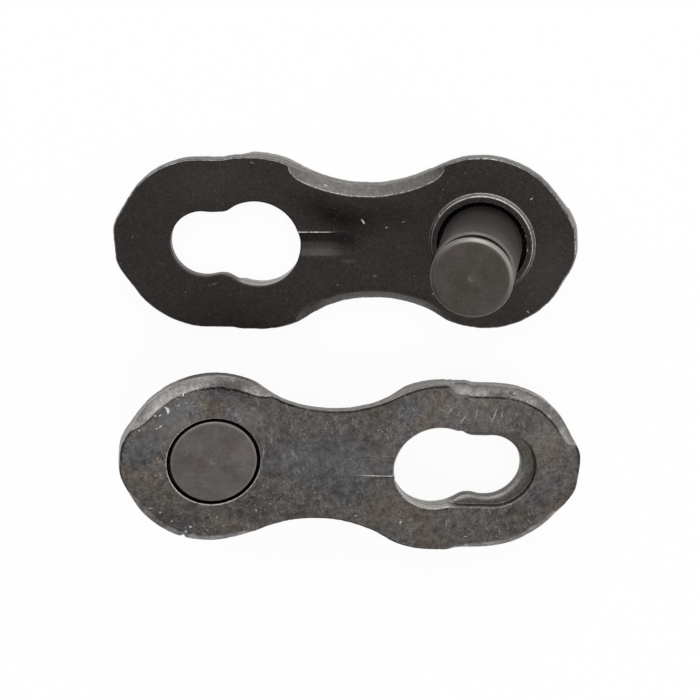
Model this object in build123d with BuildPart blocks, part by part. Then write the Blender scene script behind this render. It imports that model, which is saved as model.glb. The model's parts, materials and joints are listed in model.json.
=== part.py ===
from build123d import *
import os
from math import atan2, cos, degrees, radians, sin, sqrt

# The connecting link of a narrow bicycle chain: two identical halves that lie apart, each an
# outer plate with one pin riveted in it. To close the link, each pin goes through the wide end
# of the other plate's slot and slides into its narrow end, where the plate grips its groove.
# Millimetres, +Z up. Each piece is first made in its own half's frame: the pin's axis is on Z,
# the plate's outer face on Z = 0, its inner face above, and its slot lies towards +X.

# Chain
pitch = 12.7              # from a half's own pin to the seat of the other half's pin
inner_width = 3.95        # between the two plates of the closed link

# Plate
plate_thickness = 0.85
lobe_radius = 4.05        # round ends of the plate
waist_radius = 6.0        # hollow curve between them
end_stand = 0.17          # how far the flat at each end stands out of the round
end_flat_width = 1.6
flank_stand = 0.09        # how far the flank beside the slot's wide end stands out
flank_flat = 1.0          # straight run of that flank, from the wide end's centre to its step
end_step_run = 0.55       # slanted steps that end the flats
flank_step_run = 0.3

# Bevels
outer_bevel_width = 0.42  # outer face, round the lobes
outer_bevel_depth = 0.28
inner_bevel_width = 0.43  # inner face, along the waist
inner_bevel_depth = 0.45

# Slot
slot_travel = 2.45        # how far the other pin slides from the wide end to its seat
wide_clearance = 0.19     # round the pin's head in the wide end
seat_clearance = 0.05     # round the pin's groove in the narrow end
snap_height = 0.1         # bump on one side of the neck that keeps the pin in its seat
snap_height_back = 0.03   # the same on the other side
throat_radius = 0.6       # rounded corners where the neck meets the wide end
ledge_depth = 0.35        # recess in the outer face that takes the pin's head
ledge_clearance = 0.08    # round the pin's head in that recess
ledge_overrun = 0.28      # how far the recess runs past the seat
channel_width = 1.08      # coined in the inner face, from the slot towards the waist
channel_length = 2.1
channel_depth = 0.12
channel_slope = 75        # degrees that its sides lean
band_width = 0.92         # pressed in the outer face behind the channel
band_length = 1.9
band_depth = 0.06         # at the slot, running out to nothing at the other end

# Pin
pin_radius = 1.8
groove_radius = 1.48
groove_clearance = 0.02   # between the gripping plate and each side of the groove
head_recess = 0.05        # how far the head stays below the other plate's outer face
head_chamfer_width = 0.17
head_chamfer_depth = 0.12
shoulder_chamfer = 0.07
foot_taper = 0.08         # how much thinner the shaft is at its shoulder, inside the collar
foot_taper_height = 0.25
centre_radius = 0.14      # centre mark in each end
centre_depth = 0.06

# Rivet and collar
tenon_radius = 1.6        # the pin's thinner end, through the plate
rivet_radius = 1.96
rivet_depth = 0.35
rivet_gap = 0.13          # open ring round the rivet's head
rivet_edge = 0.04         # broken edge of the rivet's head
collar_height = 0.17
collar_radius = 2.38      # at its foot
collar_gap = 0.2          # open ring between collar and pin
collar_gap_depth = 0.35   # down to the shoulder that the pin stands on

# Lay: the first half on its outer face, the second tipped over its own pin beside it
lay_gap = 0.32            # between the two plates seen from above, at the second pin
second_shift = 0.9        # of the second pin, towards the middle of the first plate
second_turn = 8.7         # degrees, about the vertical

# What follows from these
seat_radius = groove_radius + seat_clearance
wide_radius = pin_radius + wide_clearance
ledge_radius = pin_radius + ledge_clearance
wide_x = pitch - slot_travel
end_reach = lobe_radius + end_stand
flank_radius = lobe_radius + flank_stand
gripped = plate_thickness - ledge_depth
foot_z = plate_thickness + collar_height - collar_gap_depth
shoulder_z = plate_thickness + inner_width - groove_clearance
head_z = plate_thickness + inner_width + gripped + groove_clearance
pin_length = 2 * plate_thickness + inner_width - head_recess
step_angle = degrees(atan2(end_flat_width / 2 + end_step_run, lobe_radius))
outer_slope = outer_bevel_depth / outer_bevel_width

# The waist's curve touches the round of the pin's lobe and that of the slot's flank
near_reach = waist_radius + lobe_radius
far_reach = waist_radius + flank_radius
waist_x = (wide_x**2 + near_reach**2 - far_reach**2) / (2 * wide_x)
waist_y = sqrt(near_reach**2 - waist_x**2)
waist_near = degrees(atan2(waist_y, waist_x))
waist_far = degrees(atan2(waist_y, waist_x - wide_x))


def radial_plane(x, y, angle):
    """The upright plane through the axis at x, y, with its own X outwards at that angle."""
    return Plane(
        origin=(x, y, 0),
        x_dir=(cos(radians(angle)), sin(radians(angle)), 0),
        z_dir=(sin(radians(angle)), -cos(radians(angle)), 0),
    )


def outer_bevel_section():
    """What the bevel takes off the outer edge: X is outwards from the lobe's centre."""
    inside = lobe_radius - outer_bevel_width
    outside = lobe_radius + outer_bevel_width
    Polygon(
        (inside, 0), (outside, 2 * outer_bevel_depth), (outside, -plate_thickness),
        (inside, -plate_thickness), align=None,
    )


def inner_bevel_section():
    """What the bevel takes off the waist's inner edge: X is outwards from the waist's centre."""
    inside = waist_radius - inner_bevel_width
    outside = waist_radius + inner_bevel_width
    Polygon(
        (outside, plate_thickness), (inside, plate_thickness - 2 * inner_bevel_depth),
        (inside, 2 * plate_thickness), (outside, 2 * plate_thickness), align=None,
    )


def on_round(x, y, radius, angle):
    """The point of a circle about x, y at that angle."""
    return (x + radius * cos(radians(angle)), y + radius * sin(radians(angle)))


standing = (Align.CENTER, Align.CENTER, Align.MIN)

# The plate: one steel stamping, with its collar round the pin coined up from it
with BuildPart() as plate:
    with BuildSketch() as half_blank:
        with BuildLine() as outline:
            near_corner = (-end_reach, end_flat_width / 2)
            flank_end = (wide_x + flank_flat, flank_radius)
            step_foot = (wide_x + flank_flat + flank_step_run, lobe_radius)
            far_corner = (pitch + end_reach, end_flat_width / 2)
            Line((-end_reach, 0), near_corner)
            near_lobe = CenterArc((0, 0), lobe_radius, 180 - step_angle, waist_near - 180 + step_angle)
            Line(near_corner, near_lobe @ 0)
            CenterArc((waist_x, waist_y), waist_radius, waist_near - 180, waist_far - waist_near)
            CenterArc((wide_x, 0), flank_radius, waist_far, 90 - waist_far)
            Polyline((wide_x, flank_radius), flank_end, step_foot, (pitch, lobe_radius))
            far_lobe = CenterArc((pitch, 0), lobe_radius, 90, step_angle - 90)
            Polyline(far_lobe @ 1, far_corner, (pitch + end_reach, 0), (-end_reach, 0))
        make_face()
    extrude(amount=plate_thickness)

    # Bevels of the outer face, round the lobe of the pin and round that of the slot
    with BuildSketch(radial_plane(0, 0, waist_near)):
        outer_bevel_section()
    revolve(axis=Axis.Z, revolution_arc=180 - step_angle - waist_near, mode=Mode.SUBTRACT)
    with BuildSketch(radial_plane(pitch, 0, step_angle)):
        outer_bevel_section()
    revolve(axis=Axis((pitch, 0, 0), (0, 0, 1)), revolution_arc=90 - step_angle, mode=Mode.SUBTRACT)
    with BuildSketch(radial_plane(pitch, 0, 90)):
        outer_bevel_section()
    extrude(amount=flank_end[0] - pitch, mode=Mode.SUBTRACT)

    # Each bevel ends in a round, part of a cone of the same slope
    for end, reach in (
        (on_round(0, 0, lobe_radius, waist_near), outer_bevel_width),
        (on_round(0, 0, lobe_radius, 180 - step_angle), outer_bevel_width),
        (on_round(pitch, 0, lobe_radius, step_angle), outer_bevel_width),
        (flank_end, outer_bevel_width + flank_stand),
    ):
        with Locations(end):
            Cone(reach, 0, reach * outer_slope, align=standing, mode=Mode.SUBTRACT)

    # Bevel of the inner face, along the waist. Its ends are round too: half a turn of its
    # section about the plate's edge, on the side away from the bevel
    with BuildSketch(radial_plane(waist_x, waist_y, waist_near - 180)):
        inner_bevel_section()
    waist_axis = Axis((waist_x, waist_y, 0), (0, 0, 1))
    revolve(axis=waist_axis, revolution_arc=waist_far - waist_near, mode=Mode.SUBTRACT)
    for angle, half_turn_from in ((waist_near - 180, waist_near), (waist_far - 180, waist_far - 180)):
        end_x, end_y = on_round(waist_x, waist_y, waist_radius, angle)
        with BuildSketch(radial_plane(end_x, end_y, half_turn_from)):
            Polygon(
                (0, plate_thickness - inner_bevel_depth), (inner_bevel_width, plate_thickness),
                (inner_bevel_width, 2 * plate_thickness), (0, 2 * plate_thickness), align=None,
            )
        revolve(axis=Axis((end_x, end_y, 0), (0, 0, 1)), revolution_arc=180, mode=Mode.SUBTRACT)
    mirror(about=Plane.XZ)

    # Collar, the hole for the pin's tenon, and the open rings round its shaft and its rivet
    with BuildSketch(Plane.XY.offset(plate_thickness)):
        Circle(collar_radius)
    extrude(amount=collar_height, taper=45)
    with BuildSketch():
        Circle(tenon_radius)
    extrude(amount=plate_thickness + collar_height, mode=Mode.SUBTRACT)
    with BuildSketch():
        Circle(rivet_radius + rivet_gap)
    extrude(amount=rivet_depth, mode=Mode.SUBTRACT)
    with BuildSketch(Plane.XY.offset(plate_thickness + collar_height)):
        Circle(pin_radius + collar_gap)
    extrude(amount=-collar_gap_depth, mode=Mode.SUBTRACT)

    # Slot: wide end, neck with its snap bumps, and seat
    with BuildSketch() as slot:
        with Locations((wide_x, 0)):
            Circle(wide_radius)
        with Locations((pitch, 0)):
            Circle(seat_radius)
        with Locations((wide_x, snap_height_back - seat_radius)):
            neck_width = 2 * seat_radius - snap_height - snap_height_back
            Rectangle(slot_travel, neck_width, align=(Align.MIN, Align.MIN))
        fillet(slot.vertices().sort_by(Axis.X)[:2], radius=throat_radius)
    extrude(amount=plate_thickness, mode=Mode.SUBTRACT)
    with BuildSketch():
        with Locations((pitch - (slot_travel - ledge_overrun) / 2, 0)):
            SlotCenterToCenter(slot_travel + ledge_overrun, 2 * ledge_radius)
    extrude(amount=ledge_depth, mode=Mode.SUBTRACT)

    # Channel coined in the inner face
    with BuildSketch(Plane.XY.offset(plate_thickness)):
        with Locations((wide_x - wide_radius - channel_length, 0)):
            Rectangle(channel_length + wide_radius, channel_width, align=(Align.MIN, Align.CENTER))
    extrude(amount=-channel_depth, taper=channel_slope, mode=Mode.SUBTRACT)

    # Band pressed in the outer face behind it, deepest at the slot
    with BuildSketch(Plane.XZ):
        band_start = wide_x - wide_radius - band_length
        depth_under_slot = band_depth * (1 + wide_radius / band_length)
        Polygon((band_start, 0), (wide_x, 0), (wide_x, depth_under_slot), align=None)
    extrude(amount=band_width / 2, both=True, mode=Mode.SUBTRACT)

# The pin: one turned part, its tenon riveted over in the outer face
with BuildPart() as pin:
    with BuildSketch(Plane.XZ):
        with BuildLine():
            Polyline(
                (0, centre_depth),
                (centre_radius, 0),
                (rivet_radius - rivet_edge, 0),
                (rivet_radius, rivet_edge),
                (rivet_radius, rivet_depth),
                (tenon_radius, rivet_depth),
                (tenon_radius, foot_z),
                (pin_radius - foot_taper, foot_z),
                (pin_radius, foot_z + foot_taper_height),
                (pin_radius, shoulder_z - shoulder_chamfer),
                (pin_radius - shoulder_chamfer, shoulder_z),
                (groove_radius, shoulder_z),
                (groove_radius, head_z),
                (pin_radius, head_z),
                (pin_radius, pin_length - head_chamfer_depth),
                (pin_radius - head_chamfer_width, pin_length),
                (centre_radius, pin_length),
                (0, pin_length - centre_depth),
                close=True,
            )
        make_face()
    revolve(axis=Axis.Z)

# Each half's seat: its plane's origin is where the pin's axis meets the outer face, X runs
# towards the slot and Z towards the pin's free end. The first half lies flat on its outer face.
# The second rests on the rim of its pin and on the inner edge of its slot's end, so it slopes.
rim_radius = pin_radius - head_chamfer_width
rise = pin_length - plate_thickness
run = pitch + end_reach - rim_radius
slope = degrees(atan2(rise, run))
turn = radians(second_turn)
towards_slot = Vector(
    cos(turn) * cos(radians(slope)), -sin(turn) * cos(radians(slope)), -sin(radians(slope))
)
across = Vector(-sin(turn), -cos(turn), 0)
slot_end = towards_slot * (pitch + end_reach) + towards_slot.cross(across) * plate_thickness
first_seat = Plane(origin=(pitch / 2, 0, 0), x_dir=(-1, 0, 0), z_dir=(0, 0, 1))
second_seat = Plane(
    origin=(second_shift - pitch / 2, -2 * flank_radius - lay_gap, -slot_end.Z),
    x_dir=towards_slot,
    z_dir=towards_slot.cross(across),
)

os.makedirs("parts", exist_ok=True)
for half, seat in (("first", first_seat), ("second", second_seat)):
    for piece, made in (("plate", plate), ("pin", pin)):
        with BuildPart(seat) as laid:
            add(made.part)
        laid.part.label = f"{half}_{piece}"
        export_step(laid.part, f"parts/{half}_{piece}.step")
        box = laid.part.bounding_box()
        print(laid.part.label, round(laid.part.volume, 3), laid.part.is_valid, box)

print("waist width", round(2 * (waist_y - waist_radius), 3), "slope", round(slope, 2))
print("second seat", second_seat)
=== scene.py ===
import json
from math import atan2, cos, degrees, pi, radians, sin, sqrt

import bmesh
import bpy
from mathutils import Matrix, Vector, noise


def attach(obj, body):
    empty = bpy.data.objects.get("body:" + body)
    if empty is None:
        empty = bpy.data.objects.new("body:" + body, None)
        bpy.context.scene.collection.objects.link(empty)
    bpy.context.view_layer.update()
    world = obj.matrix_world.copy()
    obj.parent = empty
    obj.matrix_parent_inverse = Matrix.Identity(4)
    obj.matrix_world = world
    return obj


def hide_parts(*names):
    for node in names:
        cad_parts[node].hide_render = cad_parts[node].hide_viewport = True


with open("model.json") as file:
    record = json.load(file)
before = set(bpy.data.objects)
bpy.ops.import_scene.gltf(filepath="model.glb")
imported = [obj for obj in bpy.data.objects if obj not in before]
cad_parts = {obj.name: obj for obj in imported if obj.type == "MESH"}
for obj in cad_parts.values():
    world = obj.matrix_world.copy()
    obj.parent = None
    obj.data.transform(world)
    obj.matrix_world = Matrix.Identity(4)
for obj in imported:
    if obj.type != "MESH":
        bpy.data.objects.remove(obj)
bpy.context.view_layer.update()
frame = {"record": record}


# ---------------------------------------------------------------------------------------------
# The outer plates. Two like stampings of spring steel: blanked, coined along their edges, a
# collar raised round the pin and a keyhole slot pierced at the other end, then hardened and
# given a black-brown oxide finish that has rubbed thin on the outer face.
# ---------------------------------------------------------------------------------------------

# Sizes in millimetres, in the half's own frame: the pin's axis on Z, the plate's outer face on
# Z = 0, its inner face above it and its slot towards +X
MM = 0.001
PITCH = 12.7
THICKNESS = 0.85
LOBE, WAIST = 4.05, 6.0
END_STAND, END_FLAT, END_SLOPE = 0.17, 1.6, 1.73
SLOT_END_FLAT = 1.9        # longer at the slot's end than at the pin's
END_FROM = 3.2             # beyond this much past a hole's centre the corners are softer
FLANK_STAND, FLANK_FLAT, FLANK_STEP = 0.09, 1.0, 0.3
# Width and depth of each coined bevel, on the -Y side of the long axis and on the +Y side
OUTER_BEVEL = {-1: (0.44, 0.4), 1: (0.36, 0.26)}
INNER_BEVEL = {-1: (0.43, 0.45), 1: (0.46, 0.36)}
# Run over which a bevel's end swells, and how evenly: a low hook opens it fast at first
PIN_BEVEL_END = {-1: (1.1, 0.8), 1: (1.5, 1)}
SLOT_BEVEL_END = {-1: (0.6, 0.5), 1: (2.4, 1)}
INNER_BEVEL_END = {-1: (0.8, 0.5), 1: (1, 0.6)}
INNER_DEPTH_END = (1.7, 1.1)           # the inner bevel deepens more slowly than it widens
BEVEL_STOP = 25.7                      # degrees from the long axis at which a lobe's bevel ends
SLOT_BEVEL_LEAD = {-1: 0.45, 1: 0}     # how far before the end of the flank's flat it starts
SLOT_TRAVEL = 2.45
WIDE_RADIUS, SEAT_RADIUS, THROAT_RADIUS = 1.99, 1.53, 0.6
SNAPS = ((1, 0.1), (-1, 0.03))         # side of the neck, and how far it stands in
LEDGE_DEPTH, LEDGE_RADIUS, LEDGE_OVERRUN = 0.35, 1.88, 0.28
CHANNEL_WIDTH, CHANNEL_LENGTH, CHANNEL_DEPTH = 1.08, 2.6, 0.12
CHANNEL_VALLEY = 0.45       # place of the channel's deepest line, as a share of its width
CHANNEL_STEEP, CHANNEL_GENTLE = 1.5, 1.3    # how its two sides curve down to that line
CHANNEL_FADE = 0.55         # share of its length over which it deepens from nothing
BURR, BURR_HEIGHT = 0.05, 0.02         # ridge along the channel's steep side, as a share, and mm
BURR_BARE, BURR_SHINE = (0.35, 0.7), 1.5    # shares of the length between which it turns bare, and its strength: bare metal that also paints the burr's highlight
BAND_WIDTH, BAND_LENGTH, BAND_DEPTH = 0.92, 1.9, 0.06
BAND_SLOPE = 0.35           # depth of the band at its shallow side, as a share of the deep side's
BAND_EDGE, BAND_WALLS = 1.02, (0.03, 0.05)  # where it ends, and how wide its side walls are
# Lines along the band, as (from and to across it, strength, share of its length that it grows
# over). Above zero it is a painted highlight on the deep wall, below zero painted shade along an edge.
BAND_LINES = ((-0.015, 0.015, -0.5, 0.3), (0.985, 1.01, 0.9, 0.4), (1.01, 1.05, -1, 0.2))
RIVET_RECESS, RIVET_DEPTH, TENON = 2.09, 0.35, 1.6
GAP_RADIUS, GAP_FLOOR = 2.0, 0.67      # the open ring between the pin and the collar
COLLAR_TOP, COLLAR_RADIUS, COLLAR_HEIGHT = 2.27, 2.37, 0.17
RIVET_EDGE, COLLAR_EDGE = 0.04, 0.03   # broken edges of the recess and of the collar's bore

EDGE = 0.045               # broken edge that tumbling leaves on every corner
SPACING = 0.08             # between vertices along an edge
RECESS_STEPS = 176         # vertices round the rivet's recess
GUARD = 0.03               # flat rim kept round every face, so that it shades flat
FRACTURE = 0.015           # how far the torn part of a sheared wall stands back
TORN_FROM = 0.55           # share of an outer wall that shears clean before it tears
SLOT_TORN_FROM = 0.28      # the same for the slot, in mm below the inner face
TEAR = 0.03                # height over which a wall steps back where it tears
SOFT_CORNERS, SOFT_ENDS = 4, 26        # rounds of softening for all corners, and for the ends
# Unevenness along an edge, as (size, mm along the edge over which it changes), and how bare the
# corners are in the same way
EDGE_WANDER, SLOT_WANDER, SHINE = (0.03, 0.7), (0.02, 0.5), (1.3, 0.8)
# Fine jags: their least size, how much more they have in ragged patches, mm over which they change,
# and mm over which the patches do
JAG_LEAST, JAG_MORE, JAG_GRAIN, JAG_PATCH = 0.02, 0.06, 0.16, 1.5
# Painted shade in the fold where the outer face turns into its bevel, on each side: the least,
# how much more, and mm over which it changes
CREASE_SHADE_LEAST, CREASE_SHADE_MORE, CREASE_GRAIN = {-1: 0.45, 1: 0}, {-1: 0.8, 1: 0}, 1.4
# Rounding where a face folds over into a bevel or a wall, on each side
BEVEL_FOLD, PLAIN_FOLD = 0.08, {-1: 0.1, 1: 0.04}
INNER_FOLD, INNER_PLAIN_FOLD = {-1: 0.04, 1: 0.12}, 0.025
INNER_RUB = {-1: 0.4, 1: 0}            # bareness of the inner bevel's fold
LEDGE_FULL, LIP, COVE = 0.2, 0.14, 0.05     # width of the full ledge, its rounded lip and its foot

WIDE_X = PITCH - SLOT_TRAVEL
END_REACH = LOBE + END_STAND
FLANK = LOBE + FLANK_STAND
WAIST_X = (WIDE_X**2 + (WAIST + LOBE)**2 - (WAIST + FLANK)**2) / (2 * WIDE_X)
WAIST_Y = sqrt((WAIST + LOBE)**2 - WAIST_X**2)
WAIST_NEAR = degrees(atan2(WAIST_Y, WAIST_X))
WAIST_FAR = degrees(atan2(WAIST_Y, WAIST_X - WIDE_X))
SLOPE_ANGLE = degrees(atan2(END_FLAT / 2 + END_SLOPE, LOBE))   # where a round meets the slope
FLANK_END = (WIDE_X + FLANK_FLAT, FLANK)
LEDGE_START = WIDE_X + sqrt(WIDE_RADIUS**2 - LEDGE_RADIUS**2)
LEDGE_END = PITCH + LEDGE_OVERRUN


def on_round(x, radius, angle):
    """The point of a circle about x on the plate's long axis."""
    return (x + radius * cos(radians(angle)), radius * sin(radians(angle)))


def line_to(bm, last, x, y):
    """Carries an edge line straight on from its last vertex, and gives the new last one."""
    start, stop = last.co.copy(), Vector((x, y, 0))
    pieces = max(1, round((stop - start).length / SPACING))
    for i in range(pieces):
        last = bmesh.ops.extrude_vert_indiv(bm, verts=[last])["verts"][0]
        last.co = start.lerp(stop, (i + 1) / pieces)
    return last


def arc_to(bm, last, x, y, turn):
    """Carries an edge line on round a centre by an angle, and gives the new last vertex."""
    radius = (last.co - Vector((x, y, 0))).length
    pieces = max(2, round(radius * radians(abs(turn)) / SPACING))
    spun = bmesh.ops.spin(
        bm, geom=[last], cent=(x, y, 0), axis=(0, 0, 1), angle=radians(turn), steps=pieces
    )
    return next(v for v in spun["geom_last"] if isinstance(v, bmesh.types.BMVert))


def outline(bm):
    """The blank's edge: round ends with flats, and a hollow waist that touches both lobes."""
    first = bm.verts.new((-END_REACH, 0, 0))
    for side in (1, -1):
        last = line_to(bm, first, -END_REACH, side * END_FLAT / 2)
        last = line_to(bm, last, *on_round(0, LOBE, side * (180 - SLOPE_ANGLE)))
        last = arc_to(bm, last, 0, 0, side * (WAIST_NEAR - 180 + SLOPE_ANGLE))
        last = arc_to(bm, last, WAIST_X, side * WAIST_Y, side * (WAIST_FAR - WAIST_NEAR))
        last = arc_to(bm, last, WIDE_X, 0, side * (90 - WAIST_FAR))
        last = line_to(bm, last, FLANK_END[0], side * FLANK_END[1])
        last = line_to(bm, last, FLANK_END[0] + FLANK_STEP, side * LOBE)
        last = line_to(bm, last, PITCH, side * LOBE)
        last = arc_to(bm, last, PITCH, 0, side * (SLOPE_ANGLE - 90))
        last = line_to(bm, last, PITCH + END_REACH, side * SLOT_END_FLAT / 2)
        line_to(bm, last, PITCH + END_REACH, 0)
    bmesh.ops.remove_doubles(bm, verts=bm.verts, dist=SPACING / 10)
    soften(bm, bm.verts[:], SOFT_CORNERS)
    soften(bm, [v for v in bm.verts if not -END_FROM < v.co.x < PITCH + END_FROM], SOFT_ENDS)


def soften(bm, verts, passes):
    """Rounds the corners of an edge line in the plane, as blanking leaves them."""
    for _ in range(passes):
        bmesh.ops.smooth_vert(bm, verts=verts, factor=0.5, use_axis_x=True, use_axis_y=True)


def keyhole(bm):
    """The slot's edge: the wide end, the neck with a snap bump on each side, and the seat."""
    old = set(bm.verts)
    first = bm.verts.new((WIDE_X - WIDE_RADIUS, 0, 0))
    for side, snap in SNAPS:
        neck = SEAT_RADIUS - snap
        throat_y = neck + THROAT_RADIUS
        throat_x = sqrt((WIDE_RADIUS + THROAT_RADIUS)**2 - throat_y**2)
        lean = degrees(atan2(throat_y, throat_x))
        half_neck = sqrt(SEAT_RADIUS**2 - neck**2)
        last = arc_to(bm, first, WIDE_X, 0, side * (lean - 180))
        last = arc_to(bm, last, WIDE_X + throat_x, side * throat_y, side * (90 - lean))
        last = line_to(bm, last, PITCH - half_neck, side * neck)
        arc_to(bm, last, PITCH, 0, side * (degrees(atan2(neck, half_neck)) - 180))
    new = [v for v in bm.verts if v not in old]
    bmesh.ops.remove_doubles(bm, verts=new, dist=SPACING / 10)
    soften(bm, [v for v in bm.verts if v not in old], SOFT_CORNERS)


def pin_hole(bm):
    """The edge of the rivet's recess."""
    bmesh.ops.create_circle(bm, segments=RECESS_STEPS, radius=RIVET_RECESS)


def outward(vert, spine):
    """The direction away from a stretch of the long axis at a vertex of an edge line round it."""
    before, after = (e.other_vert(vert).co for e in vert.link_edges[:2])
    along = after - before
    out = Vector((along.y, -along.x, 0)).normalized()
    middle = Vector((min(max(vert.co.x, spine[0]), spine[1]), 0, 0))
    return -out if out.dot(vert.co - middle) < 0 else out


FOLD_SHARE, FOLD_STEPS = 0.45, 3       # most of a stretch that a corner takes, and its curve's steps


def rounded(corners):
    """A section's points, each corner given as (place, rounding, mark, finish of what follows),
    with every corner between the ends turned into a few points on a curve. A mark above zero is
    bare metal on the corner, with a painted highlight on the collar's lit side, and one below zero
    is grime at a tear and painted shade in the bevel's fold and the ledge's corner."""
    points = [(corners[0][0], 0, corners[0][3])]
    for before, corner, after in zip(corners, corners[1:], corners[2:]):
        place, size, mark, finish = corner
        back, ahead = before[0] - place, after[0] - place
        start = place + back.normalized() * min(size, FOLD_SHARE * back.length)
        stop = place + ahead.normalized() * min(size, FOLD_SHARE * ahead.length)
        for step in range(FOLD_STEPS + 1):
            t = step / FOLD_STEPS
            point = start * (1 - t)**2 + place * 2 * t * (1 - t) + stop * t**2
            blend = [a * (1 - t) + b * t for a, b in zip(before[3], finish)]
            points.append((point, mark if 0 < step < FOLD_STEPS else 0, blend))
    points.append((corners[-1][0], 0, corners[-1][3]))
    return points


def rim(bm, loop, section, spine):
    """Builds an edge of the plate ring by ring from its line, and gives its first and last ring."""
    number = bm.verts.layers.int["number"]
    finish = bm.verts.layers.float_color["finish"]
    grime_and_shade = bm.verts.layers.float["grime_and_shade"]
    verts = list(dict.fromkeys(v for e in loop for v in e.verts))
    courses = [rounded(section(v.co.copy(), outward(v, spine))) for v in verts]
    for i, v in enumerate(verts):
        v[number] = i
    ring = first = loop
    for course in range(len(courses[0])):
        if course:
            made = bmesh.ops.extrude_edge_only(bm, edges=ring)["geom"]
            verts = [g for g in made if isinstance(g, bmesh.types.BMVert)]
            fresh = set(verts)
            ring = [
                g for g in made
                if isinstance(g, bmesh.types.BMEdge) and g.verts[0] in fresh and g.verts[1] in fresh
            ]
        for v in verts:
            place, mark, (coined, sheared, soiled) = courses[v[number]][course]
            v.co = place
            v[finish] = (max(0, mark), coined, sheared, 1)
            v[grime_and_shade] = max(soiled, -mark)
    return first, ring


# How coined, how bright from shearing and how darkened a stretch of a section is
FACE, COINED, DARKENED = (0, 0, 0), (1, 0, 0), (0, 0, 1)
SHEARED, TORN, COLLAR = (0, 0.6, 0), (0, 0.45, 0), (0.3, 0.5, 0)
LEDGE_LIP, LEDGE_FLOOR = (0, 0.4, 0), (0, 0.06, 0)
PIERCED = 0.8              # brightness of the slot's wall, and the share of it lost beside the ledge, which on the ledge's own wall is painted shade
PIERCED_LOSS, LEDGE_WALL_SHADE = 0.62, 0.75
TEAR_GRIME = -0.7          # mark of the line where a wall tears


def side_of(place):
    """Which side of the long axis a point is on."""
    return 1 if place.y > 0 else -1


def swelling(run, ends, width):
    """The share of its full width that a coined bevel has reached, some way along from its end."""
    length, hook = ends
    share = min(1, max(0, (run + width) / length))
    return (share * (2 - share))**hook


def outer_bevel(place):
    """Width and depth of the bevel coined along the outer face, at a point of the outline."""
    x, y, side = place.x, abs(place.y), side_of(place)
    width, depth = OUTER_BEVEL[side]
    if x < LOBE:
        around = degrees(atan2(y, x))
        run = radians(min(around - WAIST_NEAR, 180 - BEVEL_STOP - around)) * LOBE
        share = swelling(run, PIN_BEVEL_END[side], width)
    elif x < PITCH:
        run = x - FLANK_END[0] + SLOT_BEVEL_LEAD[side]
        share = swelling(run, SLOT_BEVEL_END[side], width)
    else:
        run = radians(degrees(atan2(y, x - PITCH)) - BEVEL_STOP) * LOBE
        share = swelling(run, SLOT_BEVEL_END[side], width)
    return width * share, depth * share


def inner_bevel(place):
    """Width and depth of the bevel coined along the waist of the inner face."""
    side = side_of(place)
    width, depth = INNER_BEVEL[side]
    near = on_round(0, LOBE, WAIST_NEAR)[0]
    far = on_round(WIDE_X, FLANK, WAIST_FAR)[0]
    run = min(place.x - near, far - place.x)
    return (
        width * swelling(run, INNER_BEVEL_END[side], width),
        depth * swelling(run, INNER_DEPTH_END, width),
    )


def uneven(place, seed, size, grain):
    """A smooth random amount between 0 and size that changes along an edge every grain mm."""
    return size * (0.5 + 0.5 * noise.noise(Vector((place.x, place.y, seed * 7.3)) / grain))


def outline_section(seed, nicks):
    """The section of the plate's outer edge, from the outer face to the inner face."""
    def section(place, out):
        up, side = Vector((0, 0, 1)), side_of(place)
        ragged = max(0, 2 * uneven(place, seed + 8, 1, JAG_PATCH) - 1)
        jags = uneven(place, seed + 3, JAG_LEAST + JAG_MORE * ragged, JAG_GRAIN)
        sink = uneven(place, seed, *EDGE_WANDER) + jags
        for x, y, radius, depth in nicks:
            past = (place - Vector((x, y, 0))).length / radius
            sink += depth * max(0, 1 - past)
        place = place - out * sink
        width, depth = outer_bevel(place)
        inner_width, inner_depth = inner_bevel(place)
        bevelled, scooped = width > 2 * EDGE, inner_width > 2 * EDGE
        width, depth = max(width, EDGE), max(depth, EDGE)
        inner_width, inner_depth = max(inner_width, EDGE), max(inner_depth, EDGE)
        torn = depth + TORN_FROM * (THICKNESS - inner_depth - depth)
        back = place - out * FRACTURE
        top = up * THICKNESS
        fold = BEVEL_FOLD if bevelled else PLAIN_FOLD[side]
        inner_fold = INNER_FOLD[side] if scooped else INNER_PLAIN_FOLD
        # painted shade along the fold from the face into the bevel
        crease = -CREASE_SHADE_LEAST[side] - uneven(place, seed + 6, CREASE_SHADE_MORE[side], CREASE_GRAIN)
        shine = uneven(place, seed + 4, *SHINE)
        rub = INNER_RUB[side] if scooped else 0.8 * shine
        return [
            (place - out * (width + 2 * fold + GUARD), 0, 0, FACE),
            (place - out * width, fold, crease, COINED if bevelled else FACE),
            (place + up * depth, 0.04 if bevelled else 0.02, 0.6 * shine, SHEARED),
            (place + up * torn, 0.02, TEAR_GRIME, TORN),
            (back + up * (torn + TEAR), 0.02, 0, TORN),
            (back + up * (THICKNESS - inner_depth), 0.03, 0.5 * shine, COINED if scooped else FACE),
            (back - out * inner_width + top, inner_fold, rub, FACE),
            (back - out * (inner_width + 2 * inner_fold + GUARD) + top, 0, 0, FACE),
        ]
    return section


def ledge_wall(place, inwards):
    """The point of the ledge's wall that faces a point of the keyhole, and its way into the steel."""
    if place.x <= LEDGE_START:
        return place, inwards
    side = 1 if place.y >= 0 else -1
    if place.x <= PITCH:
        share = (place.x - LEDGE_START) / (PITCH - LEDGE_START)
        x = LEDGE_START + share * (LEDGE_END - LEDGE_START)
        return Vector((x, side * LEDGE_RADIUS, 0)), Vector((0, side, 0))
    away = (place - Vector((PITCH, 0, 0))).normalized()
    return Vector((LEDGE_END, 0, 0)) + away * LEDGE_RADIUS, away


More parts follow.
